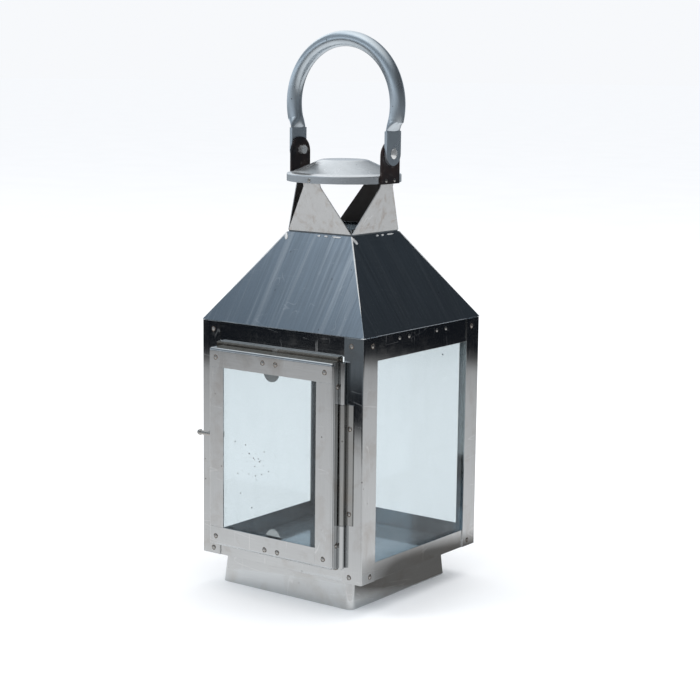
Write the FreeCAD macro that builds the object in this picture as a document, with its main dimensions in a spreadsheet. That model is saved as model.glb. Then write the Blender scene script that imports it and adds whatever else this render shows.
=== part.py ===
import FreeCAD, Part

import math
import os

import Sketcher
from FreeCAD import Placement, Rotation, Vector

# Candle lantern: a square glazed body of thin steel sheet on a skirted plinth, a hipped roof, four
# leaning chimney petals that carry a round cap, a hinged door with a turning latch at the front,
# and a bail handle on two straps.
# Frame: +Z up, the front (door) faces -Y, and the origin is on the surface the lantern stands on,
# under the middle of its whole width and depth.

doc = FreeCAD.newDocument("candle_lantern")

# ---------------------------------------------------------------- driving dimensions (mm)

SIZES = {
    # sheet metal, glass and clearances
    "sheet": 0.8,
    "glass": 2.0,
    "seam": 0.05,
    "running_fit": 0.06,
    # plinth
    "plinth_height": 25.0,
    "plinth_width": 120.0,
    "plinth_flare": 4.0,
    "plinth_corner": 5.0,
    "plinth_shift": -5.0,
    "plinth_flange": 8.0,
    # body
    "body_width": 150.0,
    "body_height": 179.0,
    "post_flange": 17.0,
    "post_bend": 1.2,
    "top_rail": 17.5,
    "bottom_rail": 13.5,
    "front_top_rail": 14.0,
    "front_bottom_rail": 9.0,
    "pane_margin": 4.0,
    "pane_top_gap": 8.0,
    # roof, chimney and cap
    "roof_rise": 66.0,
    "roof_lift": 0.6,
    "neck_width": 60.0,
    "neck_band_height": 9.0,
    "petal_gap": 1.2,
    "petal_rise": 40.8,
    "petal_lean": 11.2,
    "petal_foot": 58.2,
    "petal_head": 15.4,
    "petal_shoulder": 34.0,
    "cap_radius": 43.0,
    "cap_base": 38.0,
    "cap_rim": 5.6,
    "cap_rise": 10.8,
    "cap_brim": 38.5,
    "cap_brim_rise": 0.9,
    "cap_shoulder_bend": 1.0,
    "cap_brim_bend": 9.0,
    "cap_crown_bend": 8.0,
    "cap_crown": 17.5,
    "cap_crown_drop": 0.5,
    "cap_notch_depth": 2.5,
    "cap_rivet_grip": 3.2,
    "cap_rivet_rise": 2.2,
    "cap_notch": 26.0,
    # handle, straps and pivots
    "strap_width": 22.8,
    "strap_sheet": 1.5,
    "strap_inner": 41.2,
    "strap_overlap": 0.4,
    "strap_rivet_spacing": 10.4,
    "strap_above_pivot": 9.5,
    "pivot_height": 59.8,
    "pivot_radius": 2.4,
    "pivot_head": 4.0,
    "pivot_head_height": 1.8,
    "pivot_tail": 3.3,
    "pivot_tail_length": 3.5,
    "handle_radius": 48.0,
    "handle_above_pivot": 35.2,
    "handle_tube": 11.5,
    "handle_turn": 13.5,
    "flat_width": 17.6,
    "flat_sheet": 2.4,
    "flat_gap": 0.2,
    "flat_above_pivot": 16.5,
    # door and the collar it shuts against
    "door_left": -59.2,
    "door_right": 56.2,
    "door_bottom": 11.0,
    "door_top": 161.3,
    "door_face": 11.5,
    "door_back": 4.6,
    "door_stile": 14.3,
    "door_bend": 2.2,
    "collar_left": -58.0,
    "collar_right": 55.7,
    "collar_face": 4.3,
    "collar_lip": 4.0,
    "collar_bend": 1.2,
    "collar_flange": 9.0,
    "door_pane_left": -51.4,
    "door_pane_right": 48.6,
    "door_pane_margin": 4.5,
    # hinge
    "hinge_x": 58.9,
    "hinge_out": 2.7,
    "knuckle_radius": 2.2,
    "hinge_pin_radius": 1.3,
    "middle_knuckle_bottom": 43.0,
    "middle_knuckle_top": 131.0,
    "knuckle_gap": 0.3,
    "body_leaf": 8.2,
    "door_leaf": 6.6,
    "leaf_rivet_edge": 8.6,
    # latch
    "latch_height": 94.5,
    "latch_out": 7.6,
    "latch_radius": 1.6,
    "latch_ball": 2.3,
    "latch_ball_x": -71.0,
    "latch_inner_x": -52.4,
    "tongue_sheet": 1.2,
    "tongue_reach": 6.2,
    "tongue_width": 4.0,
    # clips and rivets
    "clip_width": 14.0,
    "clip_drop": 6.0,
    "clip_edge": 6.5,
    "clip_inset": 3.2,
    "clip_low_edge": 4.4,
    "clip_low_inset": 2.0,
    "clip_low_shift": 2.5,
    "window_clip_width": 17.5,
    "window_clip_drop": 15.0,
    "window_clip_edge": 4.0,
    "window_clip_inset": 2.0,
    "clip_spacing": 24.0,
    "clip_rivet_spacing": 12.0,
    "rivet_radius": 0.9,
    "rivet_head": 1.5,
    "rivet_head_height": 0.6,
    "rivet_inset": 10.8,
    "rivet_edge": 4.5,
    "rivet_top_edge": 6.0,
    "rivet_tail": 1.2,
    "rivet_tail_height": 0.4,
    "door_rivet_inset": 7.0,
}

sizes = doc.addObject("Spreadsheet::Sheet", "sizes")
for row, (alias, number) in enumerate(SIZES.items(), start=1):
    sizes.set(f"A{row}", alias)
    sizes.set(f"B{row}", str(number))
    sizes.setAlias(f"B{row}", alias)
doc.recompute()

# Levels and places that many parts share, as expressions of the sheet's cells.
BODY_HALF = "(sizes.body_width / 2)"
BODY_BOTTOM = "sizes.plinth_height"
BODY_TOP = "(sizes.plinth_height + sizes.body_height)"
ROOF_TOP = "(sizes.plinth_height + sizes.body_height + sizes.roof_rise)"
NECK_HALF = "(sizes.neck_width / 2)"
CAP_BASE = f"({ROOF_TOP} + sizes.cap_base)"
PIVOT_Z = f"({ROOF_TOP} + sizes.pivot_height)"
STRAP_OUTER = "(sizes.strap_inner + sizes.strap_sheet)"
FLAT_INNER = f"({STRAP_OUTER} + sizes.flat_gap)"
FLAT_OUTER = f"({STRAP_OUTER} + sizes.flat_gap + sizes.flat_sheet)"
HANDLE_Z = f"({PIVOT_Z} + sizes.handle_above_pivot)"
POST_INNER = f"({BODY_HALF} - sizes.post_flange)"
RAIL_OUTER = f"({BODY_HALF} - sizes.sheet)"
RAIL_INNER = f"({BODY_HALF} - 2 * sizes.sheet)"
PANE_INNER = f"({RAIL_INNER} - sizes.glass)"
DOOR_FRONT = f"(-{BODY_HALF} - sizes.door_face)"
DOOR_BACK = f"(-{BODY_HALF} - sizes.door_back)"
DOOR_PANE_FRONT = f"({DOOR_FRONT} + sizes.sheet)"
DOOR_PANE_BACK = f"({DOOR_FRONT} + sizes.sheet + sizes.glass)"
DOOR_LOW = f"({BODY_BOTTOM} + sizes.door_bottom)"
DOOR_HIGH = f"({BODY_BOTTOM} + sizes.door_top)"
DOOR_MIDDLE = "((sizes.door_left + sizes.door_right) / 2)"
LOW_CLIP_MIDDLE = f"({DOOR_MIDDLE} + sizes.clip_low_shift)"
COLLAR_FRONT = f"(-{BODY_HALF} - sizes.collar_face)"
COLLAR_LOW = f"({BODY_BOTTOM} + sizes.front_bottom_rail)"
COLLAR_HIGH = f"({BODY_TOP} - sizes.front_top_rail)"
HINGE_Y = f"(-{BODY_HALF} - sizes.hinge_out)"
LATCH_Y = f"(-{BODY_HALF} - sizes.latch_out)"
LATCH_Z = f"({BODY_BOTTOM} + sizes.latch_height)"

SIDES = {"front": 0, "right": 90, "back": 180, "left": 270}
PAST = 5.0  # how far a cutting solid runs past what it cuts

# The origin lies under the middle of the whole depth, door included, so the body's upright axis
# stands half the door's depth behind it. Places are given from that axis.
AXIS_Y = "(sizes.door_face / 2)"

parts = []


def number(expression):
    """The value of an expression of the sheet's cells, in mm."""
    return float(sizes.evalExpression(str(expression)))


def bind(thing, **properties):
    """Bind properties of an object to expressions."""
    for name, expression in properties.items():
        thing.setExpression(name, str(expression))
    return thing


def place(thing, x=0, y=0, z=0, turn=0, rotation=None, axis_y=AXIS_Y):
    """Put an object at x, y, z as seen from the front, then turn it about the body's axis to a side."""
    upright = Rotation(Vector(0, 0, 1), turn)
    turned = {0: (x, y), 90: (f"-({y})", x), 180: (f"-({x})", f"-({y})"), 270: (y, f"-({x})")}[turn]
    thing.Placement = Placement(Vector(), upright * (rotation or Rotation()))
    for axis, expression in zip("xyz", (turned[0], f"{turned[1]} + {axis_y}", z)):
        thing.setExpression(f"Placement.Base.{axis}", str(expression))
    return thing


def keep(label, thing):
    """Count an object as a sub-part of the lantern."""
    thing.Label = label
    parts.append(thing)
    return thing


def box(name, across, deep, high, turn=0):
    """A box from pairs of expressions: across (x), deep (y) and high (z) as seen from the front."""
    block = doc.addObject("Part::Box", name)
    bind(
        block,
        Length=f"({across[1]}) - ({across[0]})",
        Width=f"({deep[1]}) - ({deep[0]})",
        Height=f"({high[1]}) - ({high[0]})",
    )
    return place(block, across[0], deep[0], high[0], turn)


def cylinder(name, radius, length, x=0, y=0, z=0, rotation=None, turn=0, axis_y=AXIS_Y):
    """A cylinder along +Z, or along the axis that a rotation turns +Z to."""
    rod = doc.addObject("Part::Cylinder", name)
    bind(rod, Radius=radius, Height=length)
    return place(rod, x, y, z, turn, rotation, axis_y)


def cut(name, base, tool):
    """A solid less another."""
    result = doc.addObject("Part::Cut", name)
    result.Base = base
    result.Tool = tool
    return result


def common(name, base, tool):
    """What two solids share."""
    result = doc.addObject("Part::Common", name)
    result.Base = base
    result.Tool = tool
    return result


def fuse(name, *pieces):
    """Pieces joined to one solid, without seams in their flat faces."""
    result = doc.addObject("Part::MultiFuse", name)
    result.Shapes = list(pieces)
    result.Refine = True
    return result


def group(name, pieces):
    """Pieces side by side as separate solids."""
    result = doc.addObject("Part::Compound", name)
    result.Links = pieces
    return result


def new_body(name):
    """An empty body to sketch and pad in."""
    return doc.addObject("PartDesign::Body", name)


def sketch_on(body, name, plane="XY_Plane", offset=0):
    """A sketch on one of a body's own origin planes, moved along its normal."""
    sketch = body.newObject("Sketcher::SketchObject", name)
    origin_plane = [item for item in body.Origin.OriginFeatures if item.Role == plane][0]
    sketch.AttachmentSupport = [(origin_plane, "")]
    sketch.MapMode = "FlatFace"
    sketch.setExpression("AttachmentOffset.Base.z", str(offset))
    return sketch


def outline(sketch, corners):
    """A closed outline of straight sides, each corner held by a pair of expressions."""
    points = [Vector(number(u), number(v), 0) for u, v in corners]
    for start, end in zip(points, points[1:] + points[:1]):
        sketch.addGeometry(Part.LineSegment(start, end), False)
    first = sketch.GeometryCount - len(points)
    for index, (u, v) in enumerate(corners):
        side = first + index
        before = first + (index - 1) % len(points)
        sketch.addConstraint(Sketcher.Constraint("Coincident", before, 2, side, 1))
        for kind, expression in (("DistanceX", u), ("DistanceY", v)):
            held = sketch.addConstraint(Sketcher.Constraint(kind, -1, 1, side, 1, number(expression)))
            sketch.setExpression(f"Constraints[{held}]", str(expression))
    return sketch


def pad(body, name, sketch, length, reverse=False):
    """A sketch drawn out to a thickness, against its normal when reversed."""
    solid = body.newObject("PartDesign::Pad", name)
    solid.Profile = sketch
    solid.Reversed = reverse
    return bind(solid, Length=length)


def edges_where(feature, test):
    """Names of a feature's edges whose middle point passes a test."""
    doc.recompute()
    names = []
    for index, edge in enumerate(feature.Shape.Edges, start=1):
        middle = edge.valueAt((edge.FirstParameter + edge.LastParameter) / 2)
        if test(edge, middle):
            names.append(f"Edge{index}")
    return names


def fillet(name, base, radius, test):
    """Round the edges of a Part object that pass a test."""
    doc.recompute()
    rounded = doc.addObject("Part::Fillet", name)
    rounded.Base = base
    size = number(radius)
    picked = []
    for index, edge in enumerate(base.Shape.Edges, start=1):
        middle = edge.valueAt((edge.FirstParameter + edge.LastParameter) / 2)
        if test(edge, middle):
            picked.append((index, size, size))
    rounded.Edges = picked
    return rounded


def close(first, second):
    """Whether two lengths agree."""
    return abs(first - second) < 1e-3


def frustum(name, low_half, high_half, low, high, x=0):
    """A square frustum about a vertical axis, from the level low to the level high."""
    block = doc.addObject("Part::Wedge", name)
    bind(
        block,
        Xmin=f"-({low_half})",
        Xmax=low_half,
        Zmin=f"-({low_half})",
        Zmax=low_half,
        X2min=f"-({high_half})",
        X2max=high_half,
        Z2min=f"-({high_half})",
        Z2max=high_half,
        Ymin=0,
        Ymax=f"({high}) - ({low})",
    )
    return place(block, x, 0, low, rotation=Rotation(Vector(1, 0, 0), 90))


# ---------------------------------------------------------------- rivets and pins

FRONTWARD = Rotation(Vector(1, 0, 0), 90)  # turns +Z to the front, -Y
RIGHTWARD = Rotation(Vector(0, 1, 0), 90)  # turns +Z to the right, +X


def headed_pin(name, shank, grip, head, head_height, tail, tail_height):
    """A pin along Z: domed head above z = 0, shank down through the grip, and a round tail below."""
    ball_radius = f"(({head}) ^ 2 + ({head_height}) ^ 2) / (2 * ({head_height}))"
    dome = doc.addObject("Part::Sphere", f"{name}_dome")
    bind(
        dome,
        Radius=ball_radius,
        Angle1=f"asin(({ball_radius} - ({head_height})) / ({ball_radius}))",
    )
    dome.Angle2 = 90
    foot = f"-({grip}) - ({tail_height})"
    place(dome, z=f"({head_height}) - ({ball_radius})", axis_y=0)
    stem = cylinder(f"{name}_stem", shank, f"({grip}) + ({tail_height})", z=foot, axis_y=0)
    end = cylinder(f"{name}_end", tail, tail_height, z=foot, axis_y=0)
    return fuse(name, dome, stem, end)


def rivet(name, grip):
    """The pattern of the small rivets, for sheets of a given total thickness."""
    return headed_pin(
        name,
        "sizes.rivet_radius",
        grip,
        "sizes.rivet_head",
        "sizes.rivet_head_height",
        "sizes.rivet_tail",
        "sizes.rivet_tail_height",
    )


def rivets(label, pattern, spots):
    """One sub-part of like rivets: each spot is x, y, z as seen from the front and a turn to a side."""
    copies = []
    for index, (x, y, z, turn) in enumerate(spots):
        copy = doc.addObject("App::Link", f"{label}_{index}")
        copy.LinkedObject = pattern
        copies.append(place(copy, x, y, z, turn, FRONTWARD))
    return keep(label, group(label, copies))


one_sheet_rivet = rivet("one_sheet_rivet", "sizes.sheet")
two_sheet_rivet = rivet("two_sheet_rivet", "2 * sizes.sheet")
three_sheet_rivet = rivet("three_sheet_rivet", "3 * sizes.sheet")
pane_rivet = rivet("pane_rivet", "2 * sizes.sheet + sizes.glass")
cap_rivet = rivet("cap_rivet", "sizes.cap_rivet_grip")


# ---------------------------------------------------------------- plinth and floor


def make_plinth():
    """A flared skirt with rounded corners and a flange under the floor, open below."""
    high_half = "(sizes.plinth_width / 2)"
    low_half = "(sizes.plinth_width + sizes.plinth_flare) / 2"
    shift = "sizes.plinth_shift"
    ceiling = "sizes.plinth_height - sizes.sheet"
    corner = number("sizes.plinth_corner")

    def corner_edge(edge, middle):
        return not close(edge.Vertexes[0].Z, edge.Vertexes[1].Z)

    outside = frustum("plinth_outside", low_half, high_half, 0, "sizes.plinth_height", shift)
    inside = frustum(
        "plinth_inside", f"{low_half} - sizes.sheet", f"{high_half} - sizes.sheet", 0, ceiling, shift
    )
    outside = fillet("plinth_outside_round", outside, corner, corner_edge)
    inside = fillet("plinth_inside_round", inside, corner - number("sizes.sheet"), corner_edge)
    skirt = cut("plinth_skirt", outside, inside)
    reach = "sizes.plinth_width / 2 - sizes.plinth_flange"
    well = box(
        "plinth_well",
        (f"{shift} - ({reach})", f"{shift} + {reach}"),
        (f"-({reach})", reach),
        (0, f"sizes.plinth_height + {PAST}"),
    )
    return keep("plinth", cut("plinth", skirt, well))


def make_floor():
    """A plate on the plinth's flange, between the rails."""
    span = (f"-{RAIL_INNER}", RAIL_INNER)
    return keep("floor_plate", box("floor_plate", span, span, (BODY_BOTTOM, f"{BODY_BOTTOM} + sizes.sheet")))


# ---------------------------------------------------------------- body frame

POST_NAMES = {0: "post_front_left", 90: "post_front_right", 180: "post_back_right", 270: "post_back_left"}


def angle_post(turn):
    """An angle post with a bent outer corner, drawn at the front left and turned to its own corner."""
    body = new_body(f"{POST_NAMES[turn]}_blank")
    plan = sketch_on(body, f"{POST_NAMES[turn]}_plan")
    outer, inner, edge = f"-{BODY_HALF}", f"-{RAIL_OUTER}", f"-{POST_INNER}"
    outline(
        plan,
        [(outer, outer), (edge, outer), (edge, inner), (inner, inner), (inner, edge), (outer, edge)],
    )
    column = pad(body, f"{POST_NAMES[turn]}_pad", plan, "sizes.body_height")
    corner = -number(BODY_HALF)
    bend = body.newObject("PartDesign::Fillet", f"{POST_NAMES[turn]}_bend")
    bend.Base = (
        column,
        edges_where(column, lambda edge, middle: close(middle.x, corner) and close(middle.y, corner)),
    )
    bind(bend, Radius="sizes.post_bend")
    return place(body, z=BODY_BOTTOM, turn=turn)


def rail(name, low, high, turn):
    """A flat rail behind the posts' flanges."""
    return box(name, (f"-{RAIL_INNER}", RAIL_INNER), (f"-{RAIL_OUTER}", f"-{RAIL_INNER}"), (low, high), turn)


def make_frame():
    """Four posts and eight rails, pierced by the rivets that join them."""
    inset = f"({BODY_HALF} - sizes.rivet_inset)"
    levels = (f"{BODY_BOTTOM} + sizes.rivet_edge", f"{BODY_TOP} - sizes.rivet_top_edge")
    spots = [
        (x, f"-{BODY_HALF}", z, turn) for turn in SIDES.values() for x in (f"-{inset}", inset) for z in levels
    ]
    frame_rivets = rivets("frame_rivets", two_sheet_rivet, spots)

    clip_middles = ("-sizes.clip_spacing", "sizes.clip_spacing")
    clip_spots = [
        (f"{middle} {sign} sizes.clip_rivet_spacing / 2", f"-{RAIL_OUTER}",
         f"{BODY_TOP} - sizes.window_clip_edge", turn)
        for turn in (90, 180, 270)
        for middle in clip_middles
        for sign in "+-"
    ]
    clip_rivets = rivets("window_clip_rivets", pane_rivet, clip_spots)

    leaf_spots = [
        (f"sizes.hinge_x + sizes.body_leaf - sizes.knuckle_radius - sizes.rivet_head / 2",
         f"-{BODY_HALF} - sizes.sheet", z, 0)
        for z in (
            f"{BODY_BOTTOM} + sizes.middle_knuckle_bottom + sizes.leaf_rivet_edge",
            f"{BODY_BOTTOM} + sizes.middle_knuckle_top - 2 * sizes.leaf_rivet_edge",
        )
    ]
    leaf_rivets = rivets("hinge_rivets_body", three_sheet_rivet, leaf_spots)

    for turn, label in POST_NAMES.items():
        post = cut(f"{label}_riveted", angle_post(turn), frame_rivets)
        if turn == SIDES["right"]:
            post = cut(f"{label}_hinged", post, leaf_rivets)
        keep(label, post)

    for side, turn in SIDES.items():
        top_depth = "sizes.front_top_rail" if side == "front" else "sizes.top_rail"
        bottom_depth = "sizes.front_bottom_rail" if side == "front" else "sizes.bottom_rail"
        top = rail(f"top_rail_{side}_blank", f"{BODY_TOP} - {top_depth}", BODY_TOP, turn)
        top = cut(f"top_rail_{side}_riveted", top, frame_rivets)
        if side != "front":
            top = cut(f"top_rail_{side}_clipped", top, clip_rivets)
        keep(f"top_rail_{side}", top)
        bottom = rail(f"bottom_rail_{side}_blank", BODY_BOTTOM, f"{BODY_BOTTOM} + {bottom_depth}", turn)
        keep(f"bottom_rail_{side}", cut(f"bottom_rail_{side}_riveted", bottom, frame_rivets))
    return clip_rivets, leaf_rivets


def make_windows(clip_rivets):
    """Three fixed panes standing on the floor inside the rails, each held by two clips at the top."""
    reach = f"({POST_INNER} + sizes.pane_margin)"
    half = "sizes.window_clip_width / 2"
    for side in ("right", "back", "left"):
        turn = SIDES[side]
        keep(
            f"window_glass_{side}",
            box(
                f"window_glass_{side}",
                (f"-{reach}", reach),
                (f"-{RAIL_INNER}", f"-{PANE_INNER}"),
                (f"{BODY_BOTTOM} + sizes.sheet", f"{BODY_TOP} - sizes.pane_top_gap"),
                turn,
            ),
        )
        clips = []
        for index, middle in enumerate(("-sizes.clip_spacing", "sizes.clip_spacing")):
            clips.append(
                box(
                    f"window_clip_{side}_{index}",
                    (f"{middle} - {half}", f"{middle} + {half}"),
                    (f"-{PANE_INNER}", f"-{PANE_INNER} + sizes.sheet"),
                    (f"{BODY_TOP} - sizes.window_clip_drop", f"{BODY_TOP} - sizes.window_clip_inset"),
                    turn,
                )
            )
        keep(f"window_clips_{side}", cut(f"window_clips_{side}", group(f"clips_{side}", clips), clip_rivets))


# ---------------------------------------------------------------- roof, chimney and cap

ROOF_RUN = f"({BODY_HALF} - {NECK_HALF})"
ROOF_PANEL_RISE = "(sizes.roof_rise - sizes.roof_lift)"
ROOF_SLOPE = f"hypot({ROOF_RUN}; {ROOF_PANEL_RISE})"
PETAL_SLOPE = "hypot(sizes.petal_lean; sizes.petal_rise)"
PETAL_SHOULDER = f"({PETAL_SLOPE} * sizes.petal_shoulder / sizes.petal_rise)"


def trapezoid(sketch, low_half, high_half, length):
    """An outline that is symmetric about the sketch's vertical axis and stands on its horizontal one."""
    return outline(
        sketch,
        [(f"-({low_half})", 0), (low_half, 0), (high_half, length), (f"-({high_half})", length)],
    )


def make_roof():
    """Four sloping panels mitred along the hips: the inner face is narrower than the outer one."""
    mitre = f"sizes.sheet * {ROOF_PANEL_RISE} / {ROOF_SLOPE}"
    pitch = math.degrees(math.atan2(number(ROOF_PANEL_RISE), number(ROOF_RUN)))
    for side, turn in SIDES.items():
        body = new_body(f"roof_panel_{side}")
        outer = sketch_on(body, f"roof_{side}_outer")
        trapezoid(outer, BODY_HALF, NECK_HALF, ROOF_SLOPE)
        inner = sketch_on(body, f"roof_{side}_inner", offset="-sizes.sheet")
        trapezoid(inner, f"{BODY_HALF} - {mitre}", f"{NECK_HALF} - {mitre}", ROOF_SLOPE)
        sheet = body.newObject("PartDesign::AdditiveLoft", f"roof_{side}_sheet")
        sheet.Profile = outer
        sheet.Sections = [inner]
        sheet.Ruled = True
        tilt = Rotation(Vector(1, 0, 0), pitch)
        place(body, 0, f"-{BODY_HALF}", f"{BODY_TOP} + sizes.roof_lift", turn, tilt)
        keep(f"roof_panel_{side}", body)


def make_neck():
    """A folded band inside the roof's square mouth, which carries the petals."""
    low = f"{ROOF_TOP} - sizes.neck_band_height / 2"
    high = f"{ROOF_TOP} + sizes.neck_band_height / 2"
    outer = f"({NECK_HALF} - sizes.sheet)"
    inner = f"({NECK_HALF} - 2 * sizes.sheet)"
    outer_span = (f"-{outer}", outer)
    inner_span = (f"-{inner}", inner)
    block = box("neck_block", outer_span, outer_span, (low, high))
    hole = box("neck_hole", inner_span, inner_span, (f"{low} - {PAST}", f"{high} + {PAST}"))
    return keep("neck_band", cut("neck_band", block, hole))


def cap_dome(name, inset):
    """The solid under the cap's outer face, or under its inner face when inset by the sheet."""
    body = new_body(name)
    profile = sketch_on(body, f"{name}_profile", "XZ_Plane")
    rim_z = f"sizes.cap_rim - {inset}"
    top_z = f"{rim_z} + sizes.cap_rise"
    circles = (
        (f"sizes.cap_radius - {inset}", rim_z, "sizes.cap_shoulder_bend"),
        ("sizes.cap_brim", f"{rim_z} + sizes.cap_brim_rise", "sizes.cap_brim_bend"),
        ("sizes.cap_crown", f"{top_z} - sizes.cap_crown_drop", "sizes.cap_crown_bend"),
    )
    rings = [(radius, level) for radius, level, bend in circles]
    outline(profile, [(0, 0), (circles[0][0], 0), *rings, (0, top_z)])
    base = body.newObject("PartDesign::Revolution", f"{name}_turned")
    base.Profile = profile
    base.ReferenceAxis = (profile, ["V_Axis"])
    base.Angle = 360
    for index, (radius, level, bend_radius) in enumerate(circles):
        size, height = number(radius), number(level)

        def on_ring(edge, middle, size=size, height=height):
            across = edge.BoundBox.XLength
            return close(across, 2 * size) and close(middle.z, height)

        bend = body.newObject("PartDesign::Fillet", f"{name}_bend_{index}")
        bend.Base = (base, edges_where(base, on_ring))
        bind(bend, Radius=bend_radius)
        base = bend
    return place(body, z=CAP_BASE)


def make_cap():
    """A spun cap: a low dome on a brim with a rim turned down, notched where the straps pass."""
    shell = cut("cap_shell", cap_dome("cap_outside", 0), cap_dome("cap_inside", "sizes.sheet"))
    notches = [
        box(
            f"cap_notch_{turn}",
            ("-sizes.cap_notch / 2", "sizes.cap_notch / 2"),
            (f"-sizes.cap_radius - {PAST}", "-sizes.cap_radius + sizes.cap_notch_depth"),
            (f"{CAP_BASE} - {PAST}", f"{CAP_BASE} + sizes.cap_rim + sizes.cap_rise"),
            turn,
        )
        for turn in (SIDES["right"], SIDES["left"])
    ]
    return cut("cap_notched", shell, fuse("cap_notches", *notches))


def chimney_petal(name, turn):
    """A plate that leans outward from the roof's mouth, narrows to a shoulder and ends in a straight head."""
    body = new_body(name)
    plan = sketch_on(body, f"{name}_plan")
    foot_half, head_half = "sizes.petal_foot / 2", "sizes.petal_head / 2"
    right_edge = [(foot_half, 0), (head_half, PETAL_SHOULDER), (head_half, PETAL_SLOPE)]
    left_edge = [(f"-{x}", z) for x, z in reversed(right_edge)]
    outline(plan, right_edge + left_edge)
    pad(body, f"{name}_pad", plan, "sizes.sheet", reverse=True)
    lean = math.degrees(math.atan2(number("sizes.petal_lean"), number("sizes.petal_rise")))
    tilt = Rotation(Vector(1, 0, 0), 90 + lean)
    return place(body, 0, f"-{NECK_HALF}", f"{ROOF_TOP} + sizes.petal_gap", turn, tilt)


def handle_strap(name, turn):
    """An upright strap outside a petal, with a round head about the handle's pivot."""
    deep = (f"-{STRAP_OUTER}", "-sizes.strap_inner")
    half = "sizes.strap_width / 2"
    head_z = f"({PIVOT_Z} + sizes.strap_above_pivot - {half})"
    leg = box(f"{name}_leg", (f"-{half}", half), deep, (f"{CAP_BASE} - sizes.strap_overlap", head_z), turn)
    head = cylinder(
        f"{name}_head", half, "sizes.strap_sheet", 0, "-sizes.strap_inner", head_z, FRONTWARD, turn
    )
    return fuse(f"{name}_blank", leg, head)


def make_chimney():
    """Four petals, the cap on the front and back ones, and the straps on the side ones."""
    level = f"{CAP_BASE} + sizes.cap_rivet_rise"
    cap_spots = [(0, "-sizes.cap_radius", level, SIDES[side]) for side in ("front", "back")]
    cap_rivets = rivets("cap_rivets", cap_rivet, cap_spots)
    strap_spots = [
        (f"{sign} sizes.strap_rivet_spacing / 2", f"-{STRAP_OUTER}", level, SIDES[side])
        for side in ("right", "left")
        for sign in "+-"
    ]
    strap_rivets = rivets("strap_rivets", cap_rivet, strap_spots)

    for side, turn in SIDES.items():
        held_by = cap_rivets if side in ("front", "back") else strap_rivets
        blank = chimney_petal(f"chimney_petal_{side}_blank", turn)
        keep(f"chimney_petal_{side}", cut(f"chimney_petal_{side}", blank, held_by))
    keep("cap", cut("cap", make_cap(), cap_rivets))

    for side in ("right", "left"):
        turn = SIDES[side]
        pivot = headed_pin(
            f"handle_pivot_{side}",
            "sizes.pivot_radius",
            "sizes.strap_sheet + sizes.flat_sheet + 2 * sizes.flat_gap",
            "sizes.pivot_head",
            "sizes.pivot_head_height",
            "sizes.pivot_tail",
            "sizes.pivot_tail_length",
        )
        place(pivot, 0, f"-{FLAT_OUTER} - sizes.flat_gap", PIVOT_Z, turn, FRONTWARD)
        keep(f"handle_pivot_{side}", pivot)
        strap = cut(f"handle_strap_{side}_pivoted", handle_strap(f"handle_strap_{side}", turn), pivot)
        keep(f"handle_strap_{side}", cut(f"handle_strap_{side}_riveted", strap, strap_rivets))


# ---------------------------------------------------------------- handle


def neck_section(name, x, z, width, thickness, lean):
    """An oval section across the tube: its width along Y, tilted by lean from level."""
    oval = doc.addObject("Part::Ellipse", name)
    bind(oval, MajorRadius=f"({width}) / 2", MinorRadius=f"({thickness}) / 2")
    along_y = Rotation(Vector(0, 0, 1), 90)
    return place(oval, x, 0, z, rotation=Rotation(Vector(0, 1, 0), lean) * along_y)


def make_handle():
    """A round tube bent to most of a circle, pressed flat below the bend, with drilled round ends."""
    turn = "sizes.handle_turn"
    tube = "sizes.handle_tube"
    ring = doc.addObject("Part::Torus", "handle_ring")
    bind(ring, Radius1="sizes.handle_radius", Radius2=f"{tube} / 2", Angle3=f"180 + 2 * {turn}")
    start = Rotation(Vector(0, 0, 1), -number(turn))
    place(ring, z=HANDLE_Z, rotation=FRONTWARD * start)

    flat_top = f"({PIVOT_Z} + sizes.flat_above_pivot)"
    flat_middle = f"({FLAT_INNER} + sizes.flat_sheet / 2)"
    ring_x = f"(sizes.handle_radius * cos({turn}))"
    ring_z = f"({HANDLE_Z} - sizes.handle_radius * sin({turn}))"
    sections = [
        neck_section("neck_round", ring_x, ring_z, tube, tube, number(turn)),
        neck_section(
            "neck_oval",
            f"({ring_x} + 2 * {flat_middle}) / 3",
            f"({ring_z} + {flat_top}) / 2",
            f"({tube} + 2 * sizes.flat_width) / 3",
            f"({tube} + sizes.flat_sheet) / 2",
            number(turn) / 3,
        ),
        neck_section("neck_flat", flat_middle, flat_top, "sizes.flat_width", "sizes.flat_sheet", 0),
    ]
    neck = doc.addObject("Part::Loft", "handle_neck")
    neck.Sections = sections
    neck.Solid = True

    right = SIDES["right"]
    half = "sizes.flat_width / 2"
    deep = (f"-{FLAT_OUTER}", f"-{FLAT_INNER}")
    leg = box("handle_flat", (f"-{half}", half), deep, (PIVOT_Z, flat_top), right)
    end = cylinder("handle_end", half, "sizes.flat_sheet", 0, f"-{FLAT_INNER}", PIVOT_Z, FRONTWARD, right)
    right_end = fuse("handle_right_end", neck, leg, end)
    left_end = doc.addObject("Part::Mirroring", "handle_left_end")
    left_end.Source = right_end
    left_end.Normal = Vector(1, 0, 0)

    bore = cylinder(
        "handle_bore",
        "sizes.pivot_radius + sizes.running_fit",
        f"2 * ({FLAT_OUTER} + {PAST})",
        f"-{FLAT_OUTER} - {PAST}",
        0,
        PIVOT_Z,
        RIGHTWARD,
    )
    whole = fuse("handle_blank", ring, right_end, left_end)
    return keep("handle", cut("handle", whole, bore))


# ---------------------------------------------------------------- door and its collar


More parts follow.
